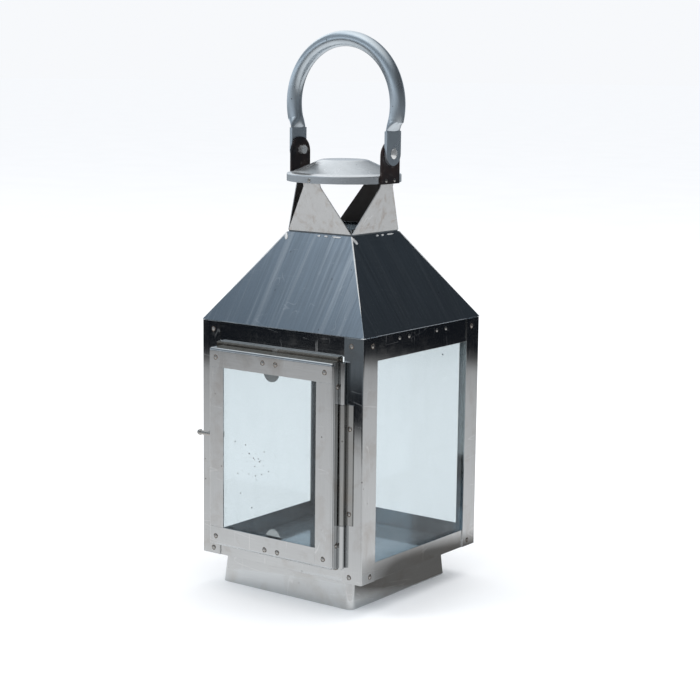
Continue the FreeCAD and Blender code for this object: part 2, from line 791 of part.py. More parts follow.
def folded_frame(name, across, high, front, back, rim, bend):
    """A picture frame folded from sheet: a front face of a given rim and sides that run back."""
    block = box(f"{name}_block", across, (front, back), high)
    front_y = number(f"{front} + {AXIS_Y}")
    back_y = number(f"{back} + {AXIS_Y}")

    def outer_bend(edge, middle):
        runs_back = not close(edge.Vertexes[0].Y, edge.Vertexes[1].Y)
        return runs_back or close(middle.y, front_y)

    def inner_bend(edge, middle):
        runs_back = not close(edge.Vertexes[0].Y, edge.Vertexes[1].Y)
        return runs_back or middle.y < back_y

    block = fillet(f"{name}_bent", block, bend, outer_bend)
    inside = box(
        f"{name}_inside",
        (f"{across[0]} + sizes.sheet", f"{across[1]} - sizes.sheet"),
        (f"{front} + sizes.sheet", f"{back} + {PAST}"),
        (f"{high[0]} + sizes.sheet", f"{high[1]} - sizes.sheet"),
    )
    inside = fillet(f"{name}_inside_bent", inside, f"{bend} - sizes.sheet", inner_bend)
    opening = box(
        f"{name}_opening",
        (f"{across[0]} + {rim}", f"{across[1]} - {rim}"),
        (f"{front} - {PAST}", f"{back} + {PAST}"),
        (f"{high[0]} + {rim}", f"{high[1]} - {rim}"),
    )
    return cut(f"{name}_frame", cut(f"{name}_tray", block, inside), opening)


def frame_piece(name, frame, across, high):
    """The part of a folded frame that lies in a region of x and z."""
    region = box(f"{name}_region", across, (f"-2 * {BODY_HALF}", 0), high)
    return common(f"{name}_piece", frame, region)


def make_collar(leaf_rivets):
    """A raised collar round the doorway in four strips; the jambs have flanges behind the posts."""
    left, right, lip = "sizes.collar_left", "sizes.collar_right", "sizes.collar_lip"
    frame = folded_frame(
        "collar",
        (left, right),
        (COLLAR_LOW, COLLAR_HIGH),
        COLLAR_FRONT,
        f"-{RAIL_INNER}",
        lip,
        "sizes.collar_bend",
    )
    everywhere = (f"{left} - {PAST}", f"{right} + {PAST}")
    jamb = (f"{COLLAR_LOW} + {lip} + sizes.seam", f"{COLLAR_HIGH} - {lip} - sizes.seam")
    keep("collar_top", frame_piece("collar_top", frame, everywhere,
                                   (f"{COLLAR_HIGH} - {lip}", f"{COLLAR_HIGH} + {PAST}")))
    keep("collar_bottom", frame_piece("collar_bottom", frame, everywhere,
                                      (f"{COLLAR_LOW} - {PAST}", f"{COLLAR_LOW} + {lip}")))
    behind_post = (f"-{RAIL_OUTER}", f"-{RAIL_INNER}")
    left_strip = frame_piece("collar_left", frame, (everywhere[0], f"{left} + {lip}"), jamb)
    left_flange = box(
        "collar_left_flange", (f"{left} - sizes.collar_flange", f"{left} + sizes.sheet"), behind_post, jamb
    )
    keep("collar_left", fuse("collar_left", left_strip, left_flange))
    right_strip = frame_piece("collar_right", frame, (f"{right} - {lip}", everywhere[1]), jamb)
    right_flange = box(
        "collar_right_flange", (f"{right} - sizes.sheet", f"{right} + sizes.collar_flange"), behind_post, jamb
    )
    right_jamb = fuse("collar_right_blank", right_strip, right_flange)
    keep("collar_right", cut("collar_right", right_jamb, leaf_rivets))


def make_door():
    """Two rails and two stiles folded from sheet, butted at the corners, with a pane held by clips."""
    left, right, stile = "sizes.door_left", "sizes.door_right", "sizes.door_stile"
    frame = folded_frame(
        "door", (left, right), (DOOR_LOW, DOOR_HIGH), DOOR_FRONT, DOOR_BACK, stile, "sizes.door_bend"
    )
    inset = "sizes.door_rivet_inset"
    corner_spots = [
        (x, DOOR_FRONT, z, 0)
        for x in (f"{left} + {inset}", f"{right} - {inset}")
        for z in (f"{DOOR_LOW} + {inset}", f"{DOOR_HIGH} - {inset}")
    ]
    clip_spots = [
        (f"{middle} {sign} sizes.clip_rivet_spacing / 2", DOOR_FRONT, z, 0)
        for sign in "+-"
        for middle, z in (
            (LOW_CLIP_MIDDLE, f"{DOOR_LOW} + sizes.clip_low_edge"),
            (DOOR_MIDDLE, f"{DOOR_HIGH} - sizes.clip_edge"),
        )
    ]
    corner_rivets = rivets("door_corner_rivets", one_sheet_rivet, corner_spots)
    clip_rivets = rivets("door_clip_rivets", pane_rivet, clip_spots)
    leaf_spots = [
        (f"{HINGE_Y} - sizes.door_leaf / 2", "-sizes.door_right - sizes.sheet", z, SIDES["right"])
        for z in (
            f"{DOOR_LOW} + 2 * sizes.leaf_rivet_edge",
            f"{DOOR_HIGH} - 2 * sizes.leaf_rivet_edge",
        )
    ]
    leaf_rivets = rivets("hinge_rivets_door", two_sheet_rivet, leaf_spots)
    all_rivets = group("door_rivets_together", [corner_rivets, clip_rivets, leaf_rivets])

    wide = (f"{left} - {PAST}", f"{right} + {PAST}")
    under_top = f"{DOOR_HIGH} - {stile} - sizes.seam"
    regions = {
        "door_top_rail": (wide, (f"{DOOR_HIGH} - {stile}", f"{DOOR_HIGH} + {PAST}")),
        "door_right_stile": ((f"{right} - {stile}", wide[1]), (f"{DOOR_LOW} - {PAST}", under_top)),
        "door_bottom_rail": (
            (wide[0], f"{right} - {stile} - sizes.seam"),
            (f"{DOOR_LOW} - {PAST}", f"{DOOR_LOW} + {stile}"),
        ),
        "door_left_stile": (
            (wide[0], f"{left} + {stile} + {PAST}"),
            (f"{DOOR_LOW} + {stile} + sizes.seam", under_top),
        ),
    }
    latch_bore = cylinder(
        "latch_bore",
        "sizes.latch_radius + sizes.running_fit",
        2 * PAST,
        f"{left} - {PAST}",
        LATCH_Y,
        LATCH_Z,
        RIGHTWARD,
    )
    for label, (across, high) in regions.items():
        piece = cut(f"{label}_riveted", frame_piece(label, frame, across, high), all_rivets)
        if label == "door_left_stile":
            piece = cut(f"{label}_bored", piece, latch_bore)
        keep(label, piece)

    margin = "sizes.door_pane_margin"
    pane_z = (f"{DOOR_LOW} + {stile} - {margin}", f"{DOOR_HIGH} - {stile} + {margin}")
    keep(
        "door_glass",
        box(
            "door_glass",
            ("sizes.door_pane_left", "sizes.door_pane_right"),
            (DOOR_PANE_FRONT, DOOR_PANE_BACK),
            pane_z,
        ),
    )
    for end in ("top", "bottom"):
        keep(f"door_clip_{end}", cut(f"door_clip_{end}_riveted", door_clip(end), clip_rivets))
    return leaf_rivets


def door_clip(end):
    """A strip behind the pane at the middle of a rail, with a round end that shows over the glass."""
    half = "sizes.clip_width / 2"
    middle = DOOR_MIDDLE if end == "top" else LOW_CLIP_MIDDLE
    across = (f"{middle} - {half}", f"{middle} + {half}")
    deep = (DOOR_PANE_BACK, f"{DOOR_PANE_BACK} + sizes.sheet")
    far = f"sizes.door_stile + sizes.clip_drop - {half}"
    if end == "top":
        centre = f"{DOOR_HIGH} - ({far})"
        high = (centre, f"{DOOR_HIGH} - sizes.clip_inset")
    else:
        centre = f"{DOOR_LOW} + {far}"
        high = (f"{DOOR_LOW} + sizes.clip_low_inset", centre)
    strip = box(f"door_clip_{end}_strip", across, deep, high)
    round_end = cylinder(f"door_clip_{end}_end", half, "sizes.sheet", middle, deep[1], centre, FRONTWARD)
    return fuse(f"door_clip_{end}_blank", strip, round_end)


# ---------------------------------------------------------------- hinge and latch


def knuckle(name, low, high):
    """One knuckle of the door's hinge between two levels."""
    return cylinder(name, "sizes.knuckle_radius", f"({high}) - ({low})", "sizes.hinge_x", HINGE_Y, low)


def make_hinge(body_rivets, door_rivets):
    """A butt hinge: the middle knuckle on the body, the outer two on the door, and one long pin."""
    middle_low = f"({BODY_BOTTOM} + sizes.middle_knuckle_bottom)"
    middle_high = f"({BODY_BOTTOM} + sizes.middle_knuckle_top)"
    pin = cylinder(
        "hinge_pin", "sizes.hinge_pin_radius", f"{DOOR_HIGH} - {DOOR_LOW}", "sizes.hinge_x", HINGE_Y, DOOR_LOW
    )
    keep("hinge_pin", pin)

    plate = box(
        "body_leaf_plate",
        ("sizes.hinge_x", "sizes.hinge_x + sizes.body_leaf"),
        (f"-{BODY_HALF} - sizes.sheet", f"-{BODY_HALF}"),
        (middle_low, middle_high),
    )
    leaf = fuse("body_leaf_blank", plate, knuckle("middle_knuckle", middle_low, middle_high))
    keep("hinge_leaf_body", cut("hinge_leaf_body", cut("body_leaf_bored", leaf, pin), body_rivets))

    gap_low = f"({middle_low} - sizes.knuckle_gap)"
    gap_high = f"({middle_high} + sizes.knuckle_gap)"
    on_door = ("sizes.door_right", "sizes.door_right + sizes.sheet")
    door_plate = box(
        "door_leaf_plate", on_door, (f"{HINGE_Y} - sizes.door_leaf", HINGE_Y), (DOOR_LOW, DOOR_HIGH)
    )
    relief = box(
        "door_leaf_relief",
        (f"{on_door[0]} - {PAST}", f"{on_door[1]} + {PAST}"),
        (f"{HINGE_Y} - sizes.knuckle_radius - sizes.knuckle_gap", f"{HINGE_Y} + {PAST}"),
        (gap_low, gap_high),
    )
    notched = cut("door_leaf_notched", door_plate, relief)
    outer_knuckles = [
        knuckle("bottom_knuckle", DOOR_LOW, gap_low),
        knuckle("top_knuckle", gap_high, DOOR_HIGH),
    ]
    door_leaf = fuse("door_leaf_blank", notched, *outer_knuckles)
    bore = cylinder(
        "door_leaf_bore",
        "sizes.hinge_pin_radius + sizes.running_fit",
        f"{DOOR_HIGH} - {DOOR_LOW} + {2 * PAST}",
        "sizes.hinge_x",
        HINGE_Y,
        f"{DOOR_LOW} - {PAST}",
    )
    keep("hinge_leaf_door", cut("hinge_leaf_door", cut("door_leaf_bored", door_leaf, bore), door_rivets))


def make_latch():
    """A ball-ended rod through the door's left side, with a tongue that turns into the doorway."""
    rod = cylinder(
        "latch_stem",
        "sizes.latch_radius",
        "sizes.latch_inner_x - sizes.latch_ball_x",
        "sizes.latch_ball_x",
        LATCH_Y,
        LATCH_Z,
        RIGHTWARD,
    )
    ball = doc.addObject("Part::Sphere", "latch_ball_end")
    bind(ball, Radius="sizes.latch_ball")
    place(ball, "sizes.latch_ball_x", LATCH_Y, LATCH_Z, rotation=RIGHTWARD)
    latch = keep("latch_rod", fuse("latch_rod", rod, ball))
    half = "sizes.tongue_width / 2"
    blade = box(
        "latch_tongue_blank",
        ("sizes.latch_inner_x - sizes.tongue_sheet", "sizes.latch_inner_x"),
        (f"{LATCH_Y} - {half}", f"{LATCH_Y} + sizes.tongue_reach"),
        (f"{LATCH_Z} - {half}", f"{LATCH_Z} + {half}"),
    )
    keep("latch_tongue", cut("latch_tongue", blade, latch))


# ---------------------------------------------------------------- build, check and write

make_plinth()
make_floor()
window_rivets, body_leaf_rivets = make_frame()
make_windows(window_rivets)
make_roof()
make_neck()
make_chimney()
make_handle()
make_collar(body_leaf_rivets)
door_leaf_rivets = make_door()
make_hinge(body_leaf_rivets, door_leaf_rivets)
make_latch()
doc.recompute()

failed = [thing.Name for thing in doc.Objects if {"Invalid", "Error"} & set(thing.State)]
broken = [part.Label for part in parts if part.Shape.isNull() or not part.Shape.isValid()]
empty = [part.Label for part in parts if not part.Shape.Solids]
if failed or broken or empty:
    raise SystemExit(f"failed: {failed}, broken: {broken}, empty: {empty}")

os.makedirs("parts", exist_ok=True)
for part in parts:
    part.Shape.exportStep(f"parts/{part.Label}.step")
print(f"{len(parts)} sub-parts written")
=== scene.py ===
import math
import random

import bmesh
import bpy
from mathutils import Matrix, Vector


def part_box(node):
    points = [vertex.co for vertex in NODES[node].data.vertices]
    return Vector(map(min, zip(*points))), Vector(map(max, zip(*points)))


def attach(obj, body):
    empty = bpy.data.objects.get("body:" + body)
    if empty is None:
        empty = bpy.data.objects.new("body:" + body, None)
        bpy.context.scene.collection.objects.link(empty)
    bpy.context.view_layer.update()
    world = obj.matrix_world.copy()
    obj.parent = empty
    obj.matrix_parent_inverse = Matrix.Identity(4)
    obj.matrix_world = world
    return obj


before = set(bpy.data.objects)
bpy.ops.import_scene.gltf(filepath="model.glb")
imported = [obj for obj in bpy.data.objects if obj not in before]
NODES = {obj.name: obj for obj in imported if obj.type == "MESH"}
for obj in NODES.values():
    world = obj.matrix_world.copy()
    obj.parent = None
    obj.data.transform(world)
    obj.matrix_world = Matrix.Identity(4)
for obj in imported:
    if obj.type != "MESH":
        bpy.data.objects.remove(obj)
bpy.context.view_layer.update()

# The looks of a candle lantern of thin stainless sheet: the imported CAD parts stay as they are and get
# procedural metal, glass and paint, most with edges rounded off in the shading. Small things are added
# to them: the roof's folded hip seams, the tabs at the petals' feet, the grime round the rivets and
# dark specks left by the candle's smoke on the door's pane. Some colours are painted light: shade on the
# petals' inner faces and on the collar, and a highlight on the seams, the tabs and the pivots.
# Lengths are in metres, in the CAD's frame: +Z up, the door faces -Y.

MM = 0.001
SHEET = 0.8 * MM

BODY_LOW, BODY_HIGH = Vector(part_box("post_front_left")[0]), Vector(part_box("post_back_right")[1])
AXIS = Vector(((BODY_LOW.x + BODY_HIGH.x) / 2, (BODY_LOW.y + BODY_HIGH.y) / 2, 0))
BODY_HALF = (BODY_HIGH.x - BODY_LOW.x) / 2
ROOF_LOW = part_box("roof_panel_front")[0].z
ROOF_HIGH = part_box("roof_panel_front")[1].z
NECK_HALF = AXIS.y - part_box("roof_panel_front")[1].y + SHEET


# ---------------------------------------------------------------- shader helpers


def new_material(name):
    """An empty node material and a function that adds nodes to it."""
    material = bpy.data.materials.new(name)
    material.use_nodes = True
    tree = material.node_tree
    tree.nodes.clear()

    def add(kind, inputs=None, **settings):
        """A node with settings, and inputs given as values or as other nodes' outputs."""
        node = tree.nodes.new(kind)
        for key, value in settings.items():
            setattr(node, key, value)
        for key, value in (inputs or {}).items():
            if isinstance(value, bpy.types.NodeSocket):
                tree.links.new(value, node.inputs[key])
            else:
                node.inputs[key].default_value = value
        return node

    return material, add


def coordinates(add, scale=(1, 1, 1)):
    """The piece's own coordinates in metres, scaled along each axis."""
    here = add("ShaderNodeTexCoord").outputs["Object"]
    return add("ShaderNodeMapping", {"Vector": here, "Scale": scale}).outputs["Vector"]


def noise(add, vector, scale, detail=3.0, roughness=0.55, distortion=0.0):
    """A soft random value at each place, about 0.5 on average."""
    inputs = {
        "Vector": vector,
        "Scale": scale,
        "Detail": detail,
        "Roughness": roughness,
        "Distortion": distortion,
    }
    return add("ShaderNodeTexNoise", inputs).outputs["Fac"]


def ramp(add, value, low, high, start=0.0, end=1.0):
    """A value's run from low to high taken to a run from start to end."""
    inputs = {"Value": value, "From Min": low, "From Max": high, "To Min": start, "To Max": end}
    return add("ShaderNodeMapRange", inputs, clamp=True).outputs["Result"]


def math_node(add, operation, first, second):
    """A value worked out from two values, either of which may be a plain number."""
    return add("ShaderNodeMath", {0: first, 1: second}, operation=operation).outputs["Value"]


def mix(add, share, first, second):
    """A colour between two colours."""
    node = add("ShaderNodeMix", data_type="RGBA")
    tree = node.id_data
    for socket, value in ((node.inputs[0], share), (node.inputs[6], first), (node.inputs[7], second)):
        if isinstance(value, bpy.types.NodeSocket):
            tree.links.new(value, socket)
        else:
            socket.default_value = value
    return node.outputs[2]


def specks(add, vector, cells, size, share):
    """Small round specks: one at most in each cell, in a share of the cells."""
    cell = add("ShaderNodeTexVoronoi", {"Vector": vector, "Scale": cells, "Randomness": 1.0})
    soft_edge = 0.6  # the share of its size at which a speck is at full strength
    inside = ramp(add, cell.outputs["Distance"], size, size * soft_edge)
    picked = add("ShaderNodeSeparateColor", {"Color": cell.outputs["Color"]}).outputs["Red"]
    chosen = math_node(add, "LESS_THAN", picked, share)
    return math_node(add, "MULTIPLY", inside, chosen)


def scratches(add, vector):
    """Thin short scratches: the middle lines of two stretched, bent noises, broken up in patches."""
    core, rim = 0.002, 0.006  # how far off its middle the noise is where a line starts to fade and ends
    lines = None
    for turn, scale in ((0.6, (60, 60, 5)), (-0.9, (8, 8, 70))):
        bent = add("ShaderNodeMapping", {"Vector": vector, "Rotation": (turn, turn, 0), "Scale": scale})
        field = noise(add, bent.outputs["Vector"], 1.0, detail=1.0, distortion=0.15)
        off_middle = math_node(add, "ABSOLUTE", math_node(add, "SUBTRACT", field, 0.5), 0.0)
        line = ramp(add, off_middle, core, rim, 1.0, 0.0)
        lines = math_node(add, "MAXIMUM", lines, line) if lines else line
    patches = noise(add, vector, 60.0, detail=2.0)
    return math_node(add, "MULTIPLY", lines, ramp(add, patches, 0.52, 0.6))


def bump(add, height, distance, strength=1.0, normal=None):
    """A normal tilted by the slope of a height, of which 1 stands for the distance."""
    inputs = {"Height": height, "Distance": distance, "Strength": strength}
    if normal:
        inputs["Normal"] = normal
    return add("ShaderNodeBump", inputs).outputs["Normal"]


def round_edges(add, radius):
    """A normal that rounds the edges off by a radius."""
    return add("ShaderNodeBevel", {"Radius": radius}, samples=4).outputs["Normal"]


def finish_surface(add, inputs):
    """A Principled surface, wired to the material's output."""
    surface = add("ShaderNodeBsdfPrincipled", inputs)
    add("ShaderNodeOutputMaterial", {"Surface": surface.outputs["BSDF"]})


# ---------------------------------------------------------------- materials


SPECK_BROWN = (0.07, 0.055, 0.045, 1)
# Near black, for the painted shade on faces that look in at the lantern's middle.
INNER_SHADE_BLACK = (0.03, 0.022, 0.018, 1)
EDGE_RADIUS = 0.25 * MM
WAVE_SCALE = 14.0  # about as many waves to the metre
CLOUD_SCALE = 13.0
BAND_SCALE = 0.45  # of the grain's scale
SPECK_SCALE = 150.0
DARKER = 0.7  # a dark streak's share of the sheet's tone
CLOUDED = 0.25  # how much of the dark tone shows in a cloud
STAIN_ROUGHNESS, SCRATCH_ROUGHNESS, INNER_SHADE_ROUGHNESS = 0.12, 0.3, 0.3  # what each adds where it is full


def sheet_metal(
    name,
    tone,
    stain,
    roughness,
    grain,
    stains=0.5,
    stain_scale=46.0,
    streaked=0.15,
    banded=0.0,
    grain_depth=0.002,
    wave_depth=0.4,
    scratched=0.3,
    inner_shade=0.0,
    metallic=1.0,
    lean=0.0,
    rounded=True,
):
    """Bare sheet: fine grain along one way, soft waves of thin sheet, stains, scratches and specks.

    tone and stain are colours, roughness is a pair, and grain is the grain's scale along each axis.
    stains, streaked, banded and scratched are how strongly each of them shows, from 0 to 1.
    grain_depth and wave_depth are in mm. inner_shade is how strongly a painted shade darkens the faces
    that look in at the lantern's middle. lean tilts the reflections of all faces but the right ones, as a
    sheet does that leans by that much for each length of its height. rounded is whether edges look rounded."""
    material, add = new_material(name)
    plain = coordinates(add)
    streaks = noise(add, coordinates(add, grain), 1.0, detail=4.0, roughness=0.7)
    patches = noise(add, plain, stain_scale, detail=6.0, roughness=0.6, distortion=0.4)
    cloud = noise(add, plain, CLOUD_SCALE, detail=2.0)
    bands = noise(add, coordinates(add, [reach * BAND_SCALE for reach in grain]), 1.0, detail=3.0)
    waves = noise(add, plain, WAVE_SCALE, detail=1.0, roughness=0.4)

    dark = [channel * DARKER for channel in tone[:3]] + [1]
    pale = [(channel + 1) / 2 for channel in tone[:3]] + [1]
    stained = math_node(add, "MULTIPLY", ramp(add, patches, 0.5, 0.78), stains)
    colour = mix(add, stained, tone, stain)
    colour = mix(add, ramp(add, streaks, 0.4, 0.75, 0.0, streaked), colour, dark)
    colour = mix(add, ramp(add, cloud, 0.35, 0.7, 0.0, CLOUDED), colour, dark)
    colour = mix(add, ramp(add, bands, 0.5, 0.75, 0.0, banded), colour, pale)
    spots = specks(add, plain, SPECK_SCALE, size=0.1, share=0.2)
    colour = mix(add, math_node(add, "MULTIPLY", spots, 0.7), colour, SPECK_BROWN)
    scratch = math_node(add, "MULTIPLY", scratches(add, plain), scratched)
    colour = mix(add, scratch, colour, pale)

    low, high = roughness
    rough = ramp(add, streaks, 0.3, 0.75, low, high)
    rough = math_node(add, "ADD", rough, math_node(add, "MULTIPLY", stained, STAIN_ROUGHNESS))
    rough = math_node(add, "ADD", rough, math_node(add, "MULTIPLY", scratch, SCRATCH_ROUGHNESS))
    # Painted shade: the faces that look in at the lantern's middle are darkened towards near black and made a
    # little rougher.
    if inner_shade:
        inner_shaded = math_node(add, "MULTIPLY", inward(add), inner_shade)
        colour = mix(add, inner_shaded, colour, INNER_SHADE_BLACK)
        rough = math_node(add, "ADD", rough, math_node(add, "MULTIPLY", inner_shaded, INNER_SHADE_ROUGHNESS))
    edges = round_edges(add, EDGE_RADIUS) if rounded else None
    waved = bump(add, waves, wave_depth * MM, normal=edges)
    if lean:
        height = add("ShaderNodeSeparateXYZ", {"Vector": plain}).outputs["Z"]
        leaning = math_node(add, "MULTIPLY", math_node(add, "MULTIPLY", height, lean), not_rightward(add))
        waved = bump(add, leaning, 1.0, normal=waved)
    normal = bump(add, streaks, grain_depth * MM, normal=waved)
    finish_surface(
        add,
        {"Base Color": colour, "Metallic": metallic, "Roughness": rough, "Normal": normal},
    )
    return material


def inward(add):
    """1 on faces that look in at the lantern's upright axis, 0 on those that look out."""
    here = add("ShaderNodeTexCoord").outputs["Object"]
    away = add("ShaderNodeVectorMath", {0: here, 1: AXIS}, operation="SUBTRACT").outputs["Vector"]
    level = add("ShaderNodeVectorMath", {0: away, 1: (1, 1, 0)}, operation="MULTIPLY").outputs["Vector"]
    normal = add("ShaderNodeTexCoord").outputs["Normal"]
    facing = add("ShaderNodeVectorMath", {0: level, 1: normal}, operation="DOT_PRODUCT").outputs["Value"]
    return math_node(add, "LESS_THAN", facing, 0.0)


def not_rightward(add):
    """0 on faces that look to the right, 1 on all others."""
    diagonal = 0.7  # the normal's share to the right where a face looks half to the right
    normal = add("ShaderNodeTexCoord").outputs["Normal"]
    across = add("ShaderNodeSeparateXYZ", {"Vector": normal}).outputs["X"]
    return math_node(add, "LESS_THAN", across, diagonal)


GLASS_TINT = (0.872, 0.896, 0.903, 1)  # what a pane lets through
GLASS_SHINE = 0.04  # what glass mirrors straight on
SMEAR = 0.025  # how much of the thickest smear shows


def pane_glass(name):
    """Clear pale-blue pane with faint smears and a few specks: what is behind shows through it."""
    material, add = new_material(name)
    plain = coordinates(add)
    smears = noise(add, coordinates(add, (60, 60, 14)), 1.0, detail=4.0, distortion=1.2)
    spots = specks(add, plain, 95.0, size=0.075, share=0.16)
    near = noise(add, plain, 22.0, detail=1.0)
    spots = math_node(add, "MULTIPLY", spots, ramp(add, near, 0.56, 0.6))
    see = add("ShaderNodeBsdfTransparent", {"Color": GLASS_TINT})
    shine = add("ShaderNodeBsdfGlossy", {"Color": (0.9, 0.95, 1, 1), "Roughness": 0.03})
    dirt = add("ShaderNodeBsdfDiffuse", {"Color": (0.1, 0.085, 0.07, 1)})
    slant = add("ShaderNodeLayerWeight", {"Blend": 0.5}).outputs["Facing"]
    shining = math_node(add, "MULTIPLY", math_node(add, "POWER", slant, 5.0), 1 - GLASS_SHINE)
    shining = math_node(add, "ADD", shining, GLASS_SHINE)
    clear = add("ShaderNodeMixShader", {0: shining, 1: see.outputs[0], 2: shine.outputs[0]})
    film = add("ShaderNodeBsdfDiffuse", {"Color": (0.75, 0.8, 0.82, 1)})
    hazy = add(
        "ShaderNodeMixShader",
        {0: ramp(add, smears, 0.45, 0.8, 0.0, SMEAR), 1: clear.outputs[0], 2: film.outputs[0]},
    )
    spotted = add("ShaderNodeMixShader", {0: spots, 1: hazy.outputs[0], 2: dirt.outputs[0]})
    add("ShaderNodeOutputMaterial", {"Surface": spotted.outputs[0]})
    return material


def dark_strap(name):
    """Blackened steel strap with a red-brown cast, scuffed in small patches."""
    material, add = new_material(name)
    plain = coordinates(add)
    scuffs = noise(add, plain, 260.0, detail=6.0, roughness=0.7)
    patches = noise(add, plain, 70.0, detail=3.0)
    worn = math_node(add, "MULTIPLY", ramp(add, scuffs, 0.58, 0.66), ramp(add, patches, 0.45, 0.6))
    colour = mix(add, ramp(add, patches, 0.35, 0.7), (0.01, 0.01, 0.013, 1), (0.03, 0.016, 0.013, 1))
    colour = mix(add, worn, colour, (0.3, 0.28, 0.27, 1))
    finish_surface(
        add,
        {
            "Base Color": colour,
            "Metallic": ramp(add, worn, 0, 1, 0.35, 1.0),
            "Roughness": ramp(add, scuffs, 0.3, 0.7, 0.32, 0.5),
            "Normal": bump(add, scuffs, 0.02 * MM),
        },
    )
    return material


def grime(name):
    """Dark brown dirt, for the rings round the rivets and the specks on the pane."""
    material, add = new_material(name)
    clumps = noise(add, coordinates(add), 900.0, detail=3.0)
    colour = mix(add, ramp(add, clumps, 0.35, 0.65), (0.035, 0.026, 0.02, 1), (0.13, 0.1, 0.08, 1))
    finish_surface(
        add,
        {"Base Color": colour, "Roughness": 0.75, "Normal": bump(add, clumps, 0.05 * MM)},
    )
    return material


STEEL_TONE, STEEL_STAIN = (0.53, 0.545, 0.55, 1), (0.36, 0.32, 0.28, 1)
ROOF_TONE, ROOF_STAIN = (0.44, 0.5, 0.56, 1), (0.28, 0.3, 0.32, 1)
FLOOR_TONE = (0.6, 0.72, 0.8, 1)
HINGE_TONE = (0.34, 0.345, 0.34, 1)
# The collar's dark brown tone is painted shade and reflection on its steel.
COLLAR_SHADE_TONE = (0.2, 0.185, 0.16, 1)
PETAL_TONE, PETAL_STAIN = (0.56, 0.57, 0.57, 1), (0.34, 0.27, 0.21, 1)
CAP_TONE, CAP_STAIN = (0.66, 0.69, 0.71, 1), (0.5, 0.54, 0.58, 1)
HANDLE_TONE, HANDLE_STAIN = (0.62, 0.69, 0.74, 1), (0.42, 0.48, 0.53, 1)
# A pale, half-matte tone that paints a highlight on the hip seams, the petals' foot tabs and the strap
# pivots.
PALE_HIGHLIGHT_TONE = (0.82, 0.83, 0.83, 1)
RIVET_TONE = (0.42, 0.41, 0.39, 1)

# The scale of the grain along each axis: it is finest across the way it runs.
UPRIGHT, LEVEL = (900, 900, 40), (40, 40, 900)
DOWN_FRONT, DOWN_SIDE = (500, 14, 14), (14, 500, 14)
EVEN = (300, 300, 300)

LOOKS = {
    "polished": sheet_metal("steel_polished", STEEL_TONE, STEEL_STAIN, (0.05, 0.09), UPRIGHT),
    "level": sheet_metal("steel_polished_level", STEEL_TONE, STEEL_STAIN, (0.05, 0.09), LEVEL),
    "bent_post": sheet_metal("steel_post", STEEL_TONE, STEEL_STAIN, (0.05, 0.09), UPRIGHT, lean=-0.055),
    "door_stile": sheet_metal("steel_door_stile", STEEL_TONE, STEEL_STAIN, (0.07, 0.12), UPRIGHT, lean=0.023),
    "door_rail": sheet_metal("steel_door_rail", STEEL_TONE, STEEL_STAIN, (0.07, 0.12), LEVEL, lean=0.023),
    "hinge": sheet_metal("steel_hinge", HINGE_TONE, STEEL_STAIN, (0.1, 0.16), UPRIGHT),
    # The collar's steel is painted dark brown: a painted shade and reflection.
    "collar": sheet_metal("steel_collar_painted_shade", COLLAR_SHADE_TONE, STEEL_STAIN, (0.12, 0.2), LEVEL),
    "roof_x": sheet_metal(
        "steel_brushed_x",
        ROOF_TONE,
        ROOF_STAIN,
        (0.13, 0.24),
        DOWN_FRONT,
        stains=0.3,
        streaked=0.9,
        banded=0.6,
        grain_depth=0.012,
        scratched=0.2,
    ),
    "roof_y": sheet_metal(
        "steel_brushed_y",
        ROOF_TONE,
        ROOF_STAIN,
        (0.12, 0.2),
        DOWN_SIDE,
        stains=0.3,
        streaked=0.8,
        banded=0.3,
        grain_depth=0.004,
        scratched=0.15,
    ),
    "petal": sheet_metal(
        "steel_petal_inner_shade",
        PETAL_TONE,
        PETAL_STAIN,
        (0.14, 0.22),
        (600, 600, 60),
        stains=0.75,
        stain_scale=150.0,
        # painted shade on the petals' inner faces
        inner_shade=0.93,
        metallic=0.76,
    ),
    "floor": sheet_metal(
        "steel_floor", FLOOR_TONE, ROOF_STAIN, (0.05, 0.1), (90, 90, 90), scratched=0.5, metallic=0.8
    ),
    "cap": sheet_metal(
        "aluminium_cap",
        CAP_TONE,
        CAP_STAIN,
        (0.16, 0.28),
        (30, 90, 30),
        streaked=0.25,
        wave_depth=1.2,
        metallic=0.85,
        rounded=False,
    ),
    "handle": sheet_metal(
        "aluminium_handle",
        HANDLE_TONE,
        HANDLE_STAIN,
        (0.26, 0.32),
        (60, 60, 60),
        streaked=0.2,
        grain_depth=0.001,
        scratched=0.2,
        metallic=0.94,
        rounded=False,
    ),
    # Pale, half-matte steel: a painted highlight on the hip seams and foot tabs; the pivots below take the
    # same pale tone.
    "seam": sheet_metal("steel_seam_painted_highlight", PALE_HIGHLIGHT_TONE, STEEL_TONE, (0.3, 0.4), EVEN, metallic=0.5),
    "rivet": sheet_metal("steel_rivet", RIVET_TONE, STEEL_STAIN, (0.25, 0.4), EVEN, stains=0.8),
    "pivot": sheet_metal("steel_pivot_painted_highlight", PALE_HIGHLIGHT_TONE, STEEL_TONE, (0.18, 0.3), EVEN, metallic=0.8),
    "glass": pane_glass("glass_pane"),
    "strap": dark_strap("strap_dark"),
    "grime": grime("rivet_grime"),
}


